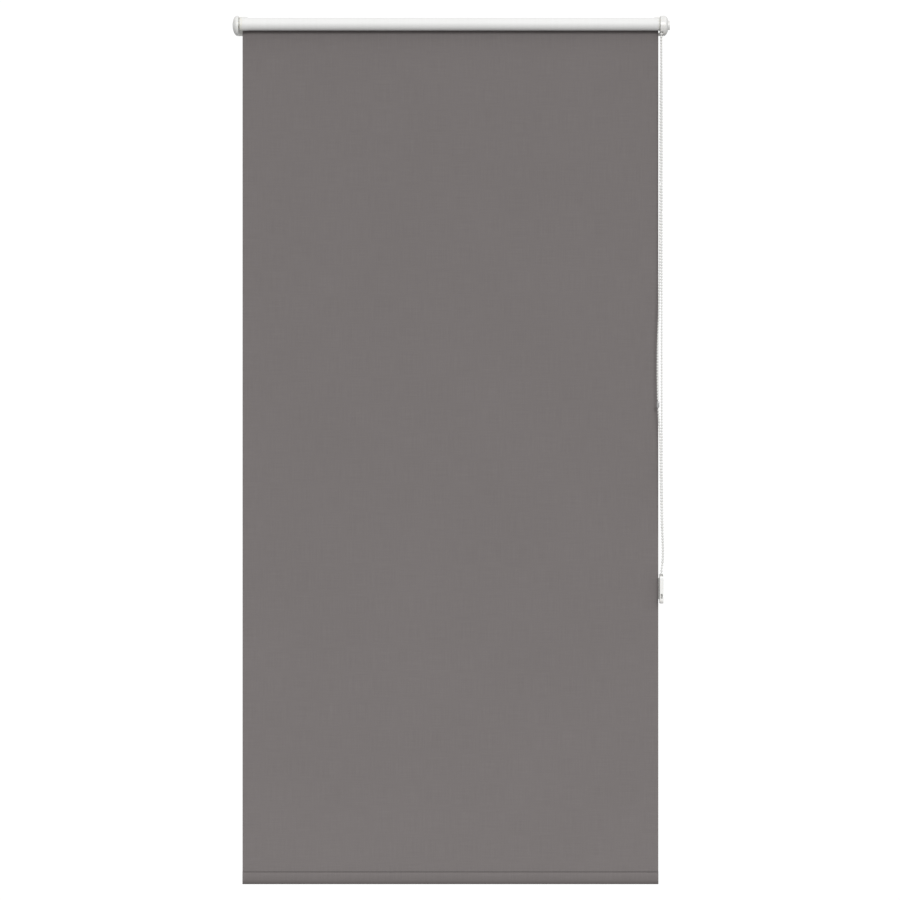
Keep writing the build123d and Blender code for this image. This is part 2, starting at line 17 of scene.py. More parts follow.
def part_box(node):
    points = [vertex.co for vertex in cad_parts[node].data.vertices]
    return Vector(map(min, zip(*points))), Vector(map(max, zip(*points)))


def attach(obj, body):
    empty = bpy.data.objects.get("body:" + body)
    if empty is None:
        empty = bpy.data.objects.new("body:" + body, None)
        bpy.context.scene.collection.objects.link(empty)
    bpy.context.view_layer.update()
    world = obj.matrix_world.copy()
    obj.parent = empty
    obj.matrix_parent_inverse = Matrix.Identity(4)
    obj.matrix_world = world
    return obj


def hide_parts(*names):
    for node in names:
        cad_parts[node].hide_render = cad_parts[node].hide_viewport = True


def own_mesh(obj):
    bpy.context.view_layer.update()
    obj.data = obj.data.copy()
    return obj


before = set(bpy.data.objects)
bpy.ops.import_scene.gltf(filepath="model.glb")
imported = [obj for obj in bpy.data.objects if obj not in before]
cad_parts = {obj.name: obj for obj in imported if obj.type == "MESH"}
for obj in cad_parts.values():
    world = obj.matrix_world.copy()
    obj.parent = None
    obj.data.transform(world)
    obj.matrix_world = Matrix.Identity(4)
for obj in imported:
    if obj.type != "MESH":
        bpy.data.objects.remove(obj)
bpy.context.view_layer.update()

log = logging.getLogger("roller_blind")

Number = Union[int, float]
Colour = tuple[float, float, float]
Point = tuple[float, float, float]

MM = 0.001
HEM_SHADE_ATTRIBUTE = "weld_and_painted_shade"  # vertex attribute: how much darker the cloth is painted: painted shade under the hem's bottom fold, and a weld line with painted groove shade along the seam
ALONG = "along_section"  # vertex attribute: the length of cloth up to the vertex
WEAVE_MAP = "cloth"  # UV map in metres across and along the cloth


# ---------------------------------------------------------------- shader maths


class Shade:
    """One shader socket, with arithmetic that adds Math nodes to its graph."""

    def __init__(self, graph: "Graph", socket: bpy.types.NodeSocket) -> None:
        """Keep the graph and the output socket."""
        self.graph = graph
        self.socket = socket

    def math(self, operation: str, *others: Union["Shade", Number]) -> "Shade":
        """Apply a Math node to this socket.

        Args:
            operation: The Math node's operation, such as "SINE".
            others: The node's further values.

        Returns:
            The result's socket.
        """
        values = dict(enumerate((self, *others)))
        return self.graph.node("ShaderNodeMath", {"operation": operation}, values)

    def __add__(self, other: Union["Shade", Number]) -> "Shade":
        """Sum."""
        return self.math("ADD", other)

    __radd__ = __add__

    def __mul__(self, other: Union["Shade", Number]) -> "Shade":
        """Product."""
        return self.math("MULTIPLY", other)

    __rmul__ = __mul__

    def __sub__(self, other: Union["Shade", Number]) -> "Shade":
        """Difference."""
        return self.math("SUBTRACT", other)

    def __rsub__(self, other: Number) -> "Shade":
        """A number less this socket."""
        return self.graph.node("ShaderNodeMath", {"operation": "SUBTRACT"}, {0: other, 1: self})

    def wave(self, period: float) -> "Shade":
        """A sine of this length, from -1 to 1."""
        return (self * (2 * math.pi / period)).math("SINE")


class Graph:
    """A material's or world's node tree, with one method for every kind of node."""

    def __init__(self, owner: Union[bpy.types.Material, bpy.types.World]) -> None:
        """Start an empty node tree.

        Args:
            owner: The new material or world that the tree belongs to.
        """
        owner.use_nodes = True
        self.owner = owner
        self.tree = owner.node_tree
        self.tree.nodes.clear()

    @classmethod
    def of(cls, name: str) -> "Graph":
        """The graph of a new material of that name."""
        return cls(bpy.data.materials.new(name))

    def node(
        self,
        kind: str,
        settings: Optional[dict] = None,
        inputs: Optional[dict] = None,
        output: Union[int, str] = 0,
    ) -> Shade:
        """Add a node.

        Args:
            kind: The node's type name.
            settings: Its properties, set first; "stops" holds a ramp's (place, colour) pairs.
            inputs: Values or links, by socket name or number.
            output: The output socket wanted.

        Returns:
            That output.
        """
        made = self.tree.nodes.new(kind)
        for key, value in (settings or {}).items():
            if key == "stops":
                self._set_stops(made.color_ramp, value)
            else:
                setattr(made, key, value)
        for key, value in (inputs or {}).items():
            if isinstance(value, Shade):
                self.tree.links.new(value.socket, made.inputs[key])
            elif made.inputs[key].type == "RGBA":
                made.inputs[key].default_value = (*value[:3], 1.0)
            else:
                made.inputs[key].default_value = value
        return Shade(self, made.outputs[output])

    @staticmethod
    def _set_stops(ramp: bpy.types.ColorRamp, stops: Sequence[tuple[float, Colour]]) -> None:
        """Replace a colour ramp's stops.

        Args:
            ramp: The ramp.
            stops: Each stop's place, from 0 to 1, with its colour.
        """
        while len(ramp.elements) < len(stops):
            ramp.elements.new(1.0)
        for element, (place, colour) in zip(ramp.elements, stops):
            element.position = place
            element.color = (*colour, 1.0)

    def coordinates(self, name: str = "Object") -> Shade:
        """A piece's own Object or UV coordinates, or the world's directions as Generated."""
        return self.node("ShaderNodeTexCoord", output=name)

    def attribute(self, name: str) -> Shade:
        """A number that the piece's vertices hold, or 0 on a piece that holds none."""
        return self.node("ShaderNodeAttribute", {"attribute_name": name}, output="Fac")

    def axes(self, vector: Shade) -> tuple[Shade, Shade, Shade]:
        """Split a vector.

        Args:
            vector: The vector.

        Returns:
            Its three numbers.
        """
        first = self.node("ShaderNodeSeparateXYZ", inputs={0: vector})
        outputs = first.socket.node.outputs
        return first, Shade(self, outputs[1]), Shade(self, outputs[2])

    def scaled(self, vector: Shade, scale: Point) -> Shade:
        """A vector stretched along each axis."""
        return self.node("ShaderNodeMapping", inputs={"Vector": vector, "Scale": scale})

    def noise(self, vector: Shade, scale: float, detail: float = 2.0, rough: float = 0.5) -> Shade:
        """Noise from 0 to 1, with `scale` cells to the metre."""
        inputs = {"Vector": vector, "Scale": scale, "Detail": detail, "Roughness": rough}
        return self.node("ShaderNodeTexNoise", inputs=inputs)

    def mix(self, low: Union[Shade, Colour], high: Union[Shade, Colour], share: Shade) -> Shade:
        """Mix two colours.

        Args:
            low: The colour where the share is 0.
            high: The colour where the share is 1.
            share: How much of the second colour shows.

        Returns:
            The mixed colour.
        """
        settings = {"data_type": "RGBA", "clamp_factor": True}
        return self.node("ShaderNodeMix", settings, {0: share, 6: low, 7: high}, 2)

    def bump(self, height: Shade, distance: float) -> Shade:
        """A normal from a height that runs from 0 to 1 over `distance` metres."""
        inputs = {"Height": height, "Distance": distance, "Strength": 1.0}
        return self.node("ShaderNodeBump", inputs=inputs)

    def surface(self, **inputs: Union[Shade, Number, tuple]) -> bpy.types.Material:
        """Finish the material with a Principled shader.

        Args:
            inputs: Socket values, with spaces in their names as underscores.

        Returns:
            The material.
        """
        values = {key.replace("_", " "): value for key, value in inputs.items()}
        shader = self.node("ShaderNodeBsdfPrincipled", inputs=values)
        self.finish("ShaderNodeOutputMaterial", shader)
        return self.owner

    def finish(self, kind: str, shader: Shade) -> None:
        """Send a shader to the tree's output node."""
        end = self.tree.nodes.new(kind)
        self.tree.links.new(shader.socket, end.inputs["Surface"])


# -------------------------------------------------------------------- finishes


class Finish(Protocol):
    """What every finish has: a name and a way to build its material."""

    name: str

    def material(self) -> bpy.types.Material:
        """Build the material."""


def tinted(colour: Colour, red: float, green: float, blue: float) -> Colour:
    """A colour with each of its parts made this much stronger or weaker."""
    return (colour[0] * red, colour[1] * green, colour[2] * blue)


def darker(colour: Colour, share: float) -> Colour:
    """A colour brought down to a share of its strength."""
    return tinted(colour, share, share, share)


@dataclass(frozen=True)
class MouldedPlastic:
    """Injection-moulded plastic: faint flow marks, a slightly wavy skin and handling marks."""

    name: str
    colour: Colour
    roughness: float = 0.32
    coat: float = 0.25
    waviness: float = 0.012 * MM

    def material(self) -> bpy.types.Material:
        """Build the material.

        Returns:
            The material.
        """
        g = Graph.of(self.name)
        place = g.coordinates()
        flow = g.noise(g.scaled(place, (1.0, 1.0, 2.4)), 60, 3)
        peel = g.noise(place, 380, 1)
        handled = g.noise(place, 25, 4, 0.6)
        yellowed = tinted(self.colour, 0.995, 0.975, 0.93)
        colour = g.mix(darker(self.colour, 0.93), self.colour, flow * 1.3 + 0.1)
        colour = g.mix(colour, yellowed, handled * 0.5)
        rough = self.roughness + (flow - 0.5) * 0.16 + (peel - 0.5) * 0.06
        return g.surface(
            Base_Color=colour,
            Roughness=rough,
            Normal=g.bump(peel, self.waviness),
            Coat_Weight=self.coat,
            Coat_Roughness=0.25,
            Specular_IOR_Level=0.5,
            Subsurface_Weight=0.06,
            Subsurface_Radius=(0.0015, 0.0013, 0.0011),
        )


@dataclass(frozen=True)
class Nylon:
    """Dull off-white nylon with a faint milky mottle."""

    name: str
    colour: Colour
    roughness: float = 0.5

    def material(self) -> bpy.types.Material:
        """Build the material.

        Returns:
            The material.
        """
        g = Graph.of(self.name)
        place = g.coordinates()
        mottle = g.noise(place, 140, 4, 0.6)
        grain = g.noise(place, 3200, 2)
        low = tinted(self.colour, 0.92, 0.91, 0.87)
        rough = self.roughness + (mottle - 0.5) * 0.2
        return g.surface(
            Base_Color=g.mix(low, self.colour, mottle * 1.4 - 0.15),
            Roughness=rough,
            Normal=g.bump(grain, 0.015 * MM),
            Subsurface_Weight=0.1,
            Subsurface_Radius=(0.002, 0.0018, 0.0014),
        )


class Lay(Enum):
    """Which way a metal's tool marks run."""

    DRAWN = (0.02, 1.0, 1.0)
    TURNED = (1.0, 0.05, 0.05)


@dataclass(frozen=True)
class Metal:
    """Bare or plated metal with tool marks and a slightly cloudy skin."""

    name: str
    colour: Colour
    roughness: float
    lay: Lay

    def material(self) -> bpy.types.Material:
        """Build the material.

        Returns:
            The material.
        """
        g = Graph.of(self.name)
        place = g.coordinates()
        marks = g.noise(g.scaled(place, self.lay.value), 4000, 3, 0.6)
        cloud = g.noise(place, 90, 4, 0.6)
        low = darker(self.colour, 0.78)
        return g.surface(
            Base_Color=g.mix(low, self.colour, cloud * 1.4 - 0.1),
            Metallic=1.0,
            Roughness=self.roughness + (marks - 0.5) * 0.25 + (cloud - 0.5) * 0.12,
            Normal=g.bump(marks, 0.012 * MM),
        )


@dataclass(frozen=True)
class PaintedBar:
    """Powder-coated extrusion with orange peel."""

    name: str
    colour: Colour

    def material(self) -> bpy.types.Material:
        """Build the material.

        Returns:
            The material.
        """
        g = Graph.of(self.name)
        place = g.coordinates()
        peel = g.noise(g.scaled(place, (0.4, 1.0, 1.0)), 900, 2)
        dust = g.noise(place, 40, 4, 0.6)
        low = darker(self.colour, 0.94)
        return g.surface(
            Base_Color=g.mix(low, self.colour, dust * 1.4 - 0.1),
            Roughness=0.38 + (dust - 0.5) * 0.2,
            Normal=g.bump(peel, 0.03 * MM),
            Coat_Weight=0.2,
        )


@dataclass(frozen=True)
class PlainWeave:
    """The room side of the cloth: a plain weave of slightly uneven dull yarn."""

    name: str
    colour: Colour
    yarn: float = 0.55 * MM

    def material(self) -> bpy.types.Material:
        """Build the material.

        Returns:
            The material.
        """
        g = Graph.of(self.name)
        place = g.coordinates("UV")
        across, along, _ = g.axes(place)
        warp = across.wave(2 * self.yarn)
        weft = along.wave(2 * self.yarn)
        crossing = (across + self.yarn / 2).wave(2 * self.yarn)
        over = crossing * (along + self.yarn / 2).wave(2 * self.yarn)
        warp_yarn = warp.math("ABSOLUTE") * (0.62 + over * 0.38)
        weft_yarn = weft.math("ABSOLUTE") * (0.62 - over * 0.38)
        height = warp_yarn.math("MAXIMUM", weft_yarn)
        slub_up = g.noise(g.scaled(place, (1.0, 0.02, 1.0)), 900, 3, 0.6)
        slub_across = g.noise(g.scaled(place, (0.02, 1.0, 1.0)), 900, 3, 0.6)
        cloud = g.noise(place, 5.0, 3, 0.5)
        heather = g.noise(place, 1500, 2)
        # tone: random slub, cloud and heather, plus painted shade in the weave's hollows from the
        # yarn height
        tone = (
            0.5
            + (slub_up - 0.5) * 0.6
            + (slub_across - 0.5) * 0.6
            + (cloud - 0.5) * 0.16
            + (heather - 0.5) * 0.7
            + (height - 0.62) * 0.55
        )
        low = tinted(self.colour, 0.80, 0.80, 0.79)
        high = tinted(self.colour, 1.20, 1.20, 1.21)
        relief = height + (slub_up - 0.5) * 0.4 + (slub_across - 0.5) * 0.4
        # painted shade colour for the hem's bottom fold and seam groove, which also has a weld
        # line, mixed in by the hem's vertex attribute
        hem_shade_colour = tinted(self.colour, 0.60, 0.59, 0.58)
        return g.surface(
            Base_Color=g.mix(g.mix(low, high, tone), hem_shade_colour, g.attribute(HEM_SHADE_ATTRIBUTE)),
            Roughness=0.86 + (heather - 0.5) * 0.12,
            Normal=g.bump(relief, 0.09 * MM),
            Sheen_Weight=0.12,
            Sheen_Roughness=0.5,
            Specular_IOR_Level=0.3,
        )


@dataclass(frozen=True)
class BlackoutCoat:
    """The wall side of the cloth: white foamed acrylic with the weave just showing through."""

    name: str
    colour: Colour
    yarn: float = 0.55 * MM

    def material(self) -> bpy.types.Material:
        """Build the material.

        Returns:
            The material.
        """
        g = Graph.of(self.name)
        place = g.coordinates("UV")
        across, along, _ = g.axes(place)
        weave = across.wave(2 * self.yarn) * along.wave(2 * self.yarn)
        pores = g.noise(place, 2400, 2)
        scrape = g.noise(g.scaled(place, (1.0, 0.06, 1.0)), 160, 3, 0.55)
        cloud = g.noise(place, 7.0, 3)
        low = tinted(self.colour, 0.93, 0.93, 0.92)
        tone = 0.55 + (scrape - 0.5) * 0.9 + (cloud - 0.5) * 0.6 + (pores - 0.5) * 0.4
        return g.surface(
            Base_Color=g.mix(low, self.colour, tone),
            Roughness=0.52 + (scrape - 0.5) * 0.16 + (pores - 0.5) * 0.1,
            Normal=g.bump(pores + weave * 0.35, 0.03 * MM),
            Specular_IOR_Level=0.4,
        )


@dataclass(frozen=True)
class Thread:
    """Sewing thread, with its twist as a bump and as painted shade in the twist's grooves; the
    seam's thread is darker than the cloth, partly as painted seam-groove shade.
    """

    name: str
    colour: Colour

    def material(self) -> bpy.types.Material:
        """Build the material.

        Returns:
            The material.
        """
        g = Graph.of(self.name)
        place = g.coordinates()
        x, _, z = g.axes(place)
        twist = (x + z * 1.6).wave(0.35 * MM) * 0.5 + 0.5
        fluff = g.noise(place, 1800, 2)
        # the colour darkens in the twist's grooves as painted shade; the fluff share is random
        low = darker(self.colour, 0.7)
        return g.surface(
            Base_Color=g.mix(low, self.colour, twist * 0.6 + fluff * 0.5),
            Roughness=0.7 + (fluff - 0.5) * 0.2,
            Normal=g.bump(twist, 0.04 * MM),
            Sheen_Weight=0.2,
        )


@dataclass(frozen=True)
class ChainPlastic:
    """Beads moulded on to a cord: glossy, with each bead's tone a little its own."""

    name: str
    colour: Colour

    def material(self) -> bpy.types.Material:
        """Build the material.

        Returns:
            The material.
        """
        g = Graph.of(self.name)
        place = g.coordinates()
        lot = g.noise(place, 120, 1)
        grease = g.noise(place, 700, 3, 0.6)
        low = tinted(self.colour, 0.90, 0.895, 0.87)
        return g.surface(
            Base_Color=g.mix(low, self.colour, lot * 1.5 - 0.2),
            Roughness=0.24 + (grease - 0.5) * 0.25,
            Normal=g.bump(grease, 0.02 * MM),
            Coat_Weight=0.2,
            Subsurface_Weight=0.1,
            Subsurface_Radius=(0.001, 0.0009, 0.0008),
        )


@dataclass(frozen=True)
class SmokedPlastic:
    """Grey see-through plastic, cloudy enough to hide its inside."""

    name: str
    colour: Colour

    def material(self) -> bpy.types.Material:
        """Build the material.

        Returns:
            The material.
        """
        g = Graph.of(self.name)
        place = g.coordinates()
        swirl = g.noise(place, 260, 3, 0.6)
        low = darker(self.colour, 0.82)
        return g.surface(
            Base_Color=g.mix(low, self.colour, swirl * 1.5 - 0.2),
            Roughness=0.2 + (swirl - 0.5) * 0.2,
            Normal=g.bump(swirl, 0.02 * MM),
            Coat_Weight=0.4,
            Subsurface_Weight=0.3,
            Subsurface_Radius=(0.003, 0.003, 0.003),
        )


@dataclass(frozen=True)
class Studio:
    """A plain matt surface for the room round the blind."""

    name: str
    colour: Colour

    def material(self) -> bpy.types.Material:
        """Build the material.

        Returns:
            The material.
        """
        g = Graph.of(self.name)
        return g.surface(Base_Color=self.colour, Roughness=0.9)


COVER_WHITE = MouldedPlastic("cover_white", (0.77, 0.77, 0.76), 0.3, 0.3)
BRACKET_WHITE = MouldedPlastic("bracket_white", (0.78, 0.78, 0.77), 0.38, 0.15)
TENSIONER_WHITE = MouldedPlastic("tensioner_white", (0.80, 0.80, 0.79), 0.34, 0.2)
NYLON = Nylon("nylon_white", (0.80, 0.80, 0.77))
TUBE_METAL = Metal("tube_aluminium", (0.80, 0.80, 0.81), 0.36, Lay.DRAWN)
PIN_STEEL = Metal("pin_steel", (0.66, 0.66, 0.64), 0.28, Lay.TURNED)
SPRING_STEEL = Metal("spring_steel", (0.58, 0.58, 0.59), 0.32, Lay.DRAWN)
BAR_PAINT = PaintedBar("bar_paint", (0.82, 0.82, 0.81))
GREY_CLOTH = PlainWeave("grey_cloth", (0.172, 0.156, 0.154))
WHITE_COAT = BlackoutCoat("white_coat", (0.80, 0.80, 0.795))
# seam thread darker than the cloth: thread colour, partly painted shade of the seam's groove
SHADED_SEAM_THREAD = Thread("seam_thread_shaded", (0.095, 0.091, 0.086))
CHAIN_WHITE = ChainPlastic("chain_white", (0.80, 0.80, 0.79))
CHAIN_CORD = Thread("chain_cord", (0.78, 0.78, 0.76))
JOINER_GREY = SmokedPlastic("joiner_grey", (0.42, 0.42, 0.42))
TAPE = Nylon("tape_backing", (0.78, 0.75, 0.64), 0.6)
FLOOR_PALE = Studio("floor_pale", (0.62, 0.62, 0.62))


class Wardrobe:
    """Builds each finish's material once and keeps it."""

    def __init__(self) -> None:
        """Start with no materials."""
        self._made: dict[str, bpy.types.Material] = {}

    def get(self, finish: Finish) -> bpy.types.Material:
        """A finish's material, made the first time it is asked for.

        Args:
            finish: The finish.

        Returns:
            Its material.
        """
        if finish.name not in self._made:
            self._made[finish.name] = finish.material()
        return self._made[finish.name]


WARDROBE = Wardrobe()


# ---------------------------------------------------------------- mesh helpers


def to_object(
    bm: bmesh.types.BMesh,
    name: str,
    finishes: Sequence[Finish],
    smooth_angle: Optional[float] = 35.0,
) -> bpy.types.Object:
    """Turn a bmesh into a linked object at the origin.

    Args:
        bm: The bmesh, which is freed.
        name: The piece's name.
        finishes: One finish for each material index.
        smooth_angle: Degrees past which an edge stays sharp, or None for flat faces.

    Returns:
        The object.
    """
    mesh = bpy.data.meshes.new(name)
    bm.to_mesh(mesh)
    bm.free()
    obj = bpy.data.objects.new(name, mesh)
    bpy.context.scene.collection.objects.link(obj)
    for finish in finishes:
        mesh.materials.append(WARDROBE.get(finish))
    if smooth_angle is not None:
        mesh.polygons.foreach_set("use_smooth", [True] * len(mesh.polygons))
        mesh.set_sharp_from_angle(angle=math.radians(smooth_angle))
    return obj


def fit_out(obj: bpy.types.Object, body: str, slot: str, *nodes: str) -> bpy.types.Object:
    """Attach a piece to its body and hide the CAD nodes that it stands for.

    Args:
        obj: The piece.
        body: The CAD body that it rides on.
        slot: A material slot name; not used.
        nodes: The CAD nodes that it replaces.

    Returns:
        The piece.
    """
    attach(obj, body)
    if nodes:
        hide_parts(*nodes)
    log.info("%s: %d faces on %s", obj.name, len(obj.data.polygons), body)
    return obj


def spans(low: float, high: float, count: int) -> list[float]:
    """Evenly spaced places from low to high."""
    return [low + (high - low) * i / count for i in range(count + 1)]


class Copies:
    """Many placed copies of one small shape, gathered into one bmesh."""

    def __init__(self, template: bmesh.types.BMesh) -> None:
        """Read the shape to copy.

        Args:
            template: The shape, made by an operator; it is freed.
        """
        template.verts.index_update()
        self.corners = [vertex.co.copy() for vertex in template.verts]
        self.faces = [[vertex.index for vertex in face.verts] for face in template.faces]
        template.free()
        self.placed: list[Matrix] = []

    def add(self, matrix: Matrix) -> None:
        """Place one more copy."""
        self.placed.append(matrix)

    def gather(self, bm: bmesh.types.BMesh) -> None:
        """Write all the copies into a bmesh.

        Args:
            bm: The bmesh that gets them.
        """
        for matrix in self.placed:
            verts = [bm.verts.new(matrix @ corner) for corner in self.corners]
            for face in self.faces:
                bm.faces.new([verts[index] for index in face])


def ball(radius: float, around: int, rings: int) -> Copies:
    """Start copies of a sphere with its poles on its own Z axis.

    Args:
        radius: The sphere's radius.
        around: Faces round its middle.
        rings: Rings of faces from pole to pole.

    Returns:
        The copies, none of them placed yet.
    """
    template = bmesh.new()
    bmesh.ops.create_uvsphere(template, u_segments=around, v_segments=rings, radius=radius)
    return Copies(template)


# ---------------------------------------------------------------------- studio


@dataclass(frozen=True)
class SoftSun:
    """A wide, even light from one direction."""

    name: str
    azimuth: float
    elevation: float
    spread: float
    strength: float
    distance: float = 4.0

    def build(self) -> None:
        """Hang the light; its azimuth is 0 straight in front of the blind."""
        data = bpy.data.lights.new(self.name, "SUN")
        data.angle = math.radians(self.spread)
        data.energy = self.strength
        lamp = bpy.data.objects.new(self.name, data)
        side, rise = math.radians(self.azimuth), math.radians(self.elevation)
        level = math.cos(rise)
        source = Vector((math.sin(side) * level, -math.cos(side) * level, math.sin(rise)))
        lamp.location = source * self.distance
        lamp.rotation_euler = source.to_track_quat("Z", "Y").to_euler()
        bpy.context.scene.collection.objects.link(lamp)


@dataclass
class StudioSet:
    """Camera, lights, floor and background."""

    aim: Point = (-0.0024, -0.017, -0.8739)
    distance: float = 12.0
    view_width: float = 1.8544
    sensor: float = 36.0
    far_clip: float = 60.0
    floor_z: float = -2.60
    floor_half: float = 2.2
    backdrop_cosine: float = 0.94
    backdrop: Colour = (1.05, 1.05, 1.05)
    dome_greys: tuple[tuple[float, float], ...] = (
        (0.0, 0.14),
        (0.25, 0.20),
        (0.42, 0.38),
        (0.54, 0.74),
        (1.0, 0.78),
    )
    key: SoftSun = SoftSun("key", 8.0, 19.0, 16.0, 1.62)

    def camera(self) -> None:
        """A level camera straight in front of the blind."""
        data = bpy.data.cameras.new("camera")
        data.sensor_width = self.sensor
        data.lens = self.sensor * self.distance / self.view_width
        data.clip_end = self.far_clip
        camera = bpy.data.objects.new("camera", data)
        camera.location = (self.aim[0], self.aim[1] - self.distance, self.aim[2])
        camera.rotation_euler = (math.pi / 2, 0.0, 0.0)
        bpy.context.scene.collection.objects.link(camera)
        bpy.context.scene.camera = camera

    def floor(self) -> None:
        """A pale floor under the blind."""
        bm = bmesh.new()
        bmesh.ops.create_grid(bm, x_segments=1, y_segments=1, size=self.floor_half)
        bmesh.ops.translate(bm, verts=bm.verts, vec=(0.0, 0.0, self.floor_z))
        to_object(bm, "floor", [FLOOR_PALE], None)

    def background(self) -> None:
        """Soft light that is brightest overhead and dim below, with a white backdrop behind."""
        world = bpy.data.worlds.new("studio")
        g = Graph(world)
        _, depth, height = g.axes(g.coordinates("Generated"))
        ramp = {"stops": [(at, (grey, grey, grey)) for at, grey in self.dome_greys]}
        dome = g.node("ShaderNodeValToRGB", ramp, {0: height * 0.5 + 0.5})
        behind = depth.math("GREATER_THAN", self.backdrop_cosine)
        colour = g.mix(dome, self.backdrop, behind)
        light = g.node("ShaderNodeBackground", inputs={"Color": colour, "Strength": 1.0})
        g.finish("ShaderNodeOutputWorld", light)
        scene = bpy.context.scene
        scene.world = world
        scene.view_settings.view_transform = "Standard"

    def build(self) -> None:
        """Set up the studio round the blind."""
        self.background()
        self.floor()
        self.key.build()


# ----------------------------------------------------------------------- chain


@dataclass
class BeadChain:
    """The pull chain: beads on a cord, hanging from the sprocket and round the wheel."""

    bead: float = 2.25 * MM
    pitch: float = 6.0 * MM
    cord: float = 0.6 * MM
    plane_x: float = 432.6 * MM
    front_y: float = -41.591 * MM
    back_y: float = -18.409 * MM
    axis_z: float = 2.5 * MM
    bottom_z: float = -1184.676 * MM
    loop_length: float = 2.388
    joiner_low: float = -788.6 * MM
    joiner_high: float = -772.4 * MM
    pockets: int = 12
    bead_sides: int = 10
    bead_rings: int = 7
    pocket_bead_sides: int = 12
    pocket_bead_rings: int = 8
    cord_sides: int = 8
    wrap_steps: int = 24
    joiner_sides: int = 28
    joiner_mouth: float = 0.8 * MM

    def route(self) -> list[Point]:
        """Give the free run's points, listed one by one.

        Returns:
            The points, down in front, round the tensioner's wheel and up behind.
        """
        near_wheel = self.bottom_z + 27.0 * MM
        return [
            (self.plane_x, self.front_y, self.axis_z),
            (self.plane_x, self.front_y, -0.030),
            (0.4305, -0.0424, -0.120),
            (0.4294, -0.0434, -0.540),
            (0.4234, -0.0446, -0.676),
            (0.4252, -0.0444, -0.793),
            (0.4299, -0.0438, -0.836),
            (0.4316, -0.0428, -1.010),
            (0.4356, -0.0422, -1.086),
            (self.plane_x, self.front_y, -1.120),
            (self.plane_x, self.front_y, near_wheel),
            (self.plane_x, self.front_y, self.bottom_z),
            (self.plane_x, self.back_y, self.bottom_z),
            (self.plane_x, self.back_y, near_wheel),
            (self.plane_x, self.back_y, -1.120),
            (0.4380, -0.0181, -1.100),
            (0.4342, -0.0183, -1.004),
            (0.4335, -0.0169, -0.560),
            (0.4344, -0.0182, -0.120),
            (self.plane_x, self.back_y, -0.032),
            (self.plane_x, self.back_y, self.axis_z),
        ]

    def curve(self) -> bpy.types.Object:
        """Lay the route as one smooth NURBS curve.

        Returns:
            The curve, with no thickness yet.
        """
        data = bpy.data.curves.new("chain_line", "CURVE")
        data.dimensions = "3D"
        data.resolution_u = 24
        spline = data.splines.new("NURBS")
        points = self.route()
        spline.points.add(len(points) - 1)
        for point, at in zip(spline.points, points):
            point.co = (*at, 1.0)
        spline.order_u = 3
        spline.use_endpoint_u = True
        line = bpy.data.objects.new("chain_line", data)
        bpy.context.scene.collection.objects.link(line)
        return line

    def read(self) -> tuple[list[Vector], bpy.types.Mesh]:
        """The curve's own points, and the thin cord along it.

        Returns:
            The centreline's points from the front exit to the back one, and the cord's mesh.
        """
        line = self.curve()
        bare = bpy.data.meshes.new_from_object(line)
        points = [vertex.co.copy() for vertex in bare.vertices]
        bpy.data.meshes.remove(bare)
        line.data.bevel_depth = self.cord
        line.data.bevel_resolution = 1
        line.data.use_fill_caps = True
        cord = bpy.data.meshes.new_from_object(line)
        bpy.data.objects.remove(line)
        return points, cord

    @staticmethod
    def places(points: Sequence[Vector], count: int, end_gap: float) -> list[tuple[Vector, Vector]]:
        """Evenly spaced places along a line.

        Args:
            points: The line's points.
            count: How many places.
            end_gap: The length left free at either end.

        Returns:
            Each place with the line's direction there.
        """
        lengths = [(b - a).length for a, b in zip(points, points[1:])]
        step = (sum(lengths) - 2 * end_gap) / (count - 1)
        found, wanted, walked = [], end_gap, 0.0
        for a, b, length in zip(points, points[1:], lengths):
            while len(found) < count and wanted <= walked + length + 1e-9:
                share = (wanted - walked) / length
                found.append((a.lerp(b, share), (b - a).normalized()))
                wanted += step
            walked += length
        return found

    @staticmethod
    def bead_at(at: Vector, way: Vector) -> Matrix:
        """A bead's place, with its poles on the cord's line."""
        return Matrix.Translation(at) @ way.to_track_quat("Z", "Y").to_matrix().to_4x4()

    def free_run(self, points: Sequence[Vector], cord: bpy.types.Mesh) -> bpy.types.Object:
        """Make the hanging chain, as beads and cord in one mesh.

        Args:
            points: The centreline's points.
            cord: The thin cord along it.

        Returns:
            The piece.
        """
        length = sum((b - a).length for a, b in zip(points, points[1:]))
        count = round((length - self.pitch) / self.pitch) + 1
        beads = ball(self.bead, self.bead_sides, self.bead_rings)
        for at, way in self.places(points, count, self.pitch / 2):
            in_front = at.y < (self.front_y + self.back_y) / 2
            if not (in_front and self.joiner_low < at.z < self.joiner_high):
                beads.add(self.bead_at(at, way))
        bm = bmesh.new()
        beads.gather(bm)
        bead_faces = set(bm.faces)
        bm.from_mesh(cord)
        for face in bm.faces:
            face.material_index = 0 if face in bead_faces else 1
        chain = to_object(bm, "bead_chain", [CHAIN_WHITE, CHAIN_CORD], 60.0)
        fit_out(chain, "mounting", "chain_plastic", "pull_chain")
        log.info("chain: %d beads on %.4f m", count, length)
        return chain

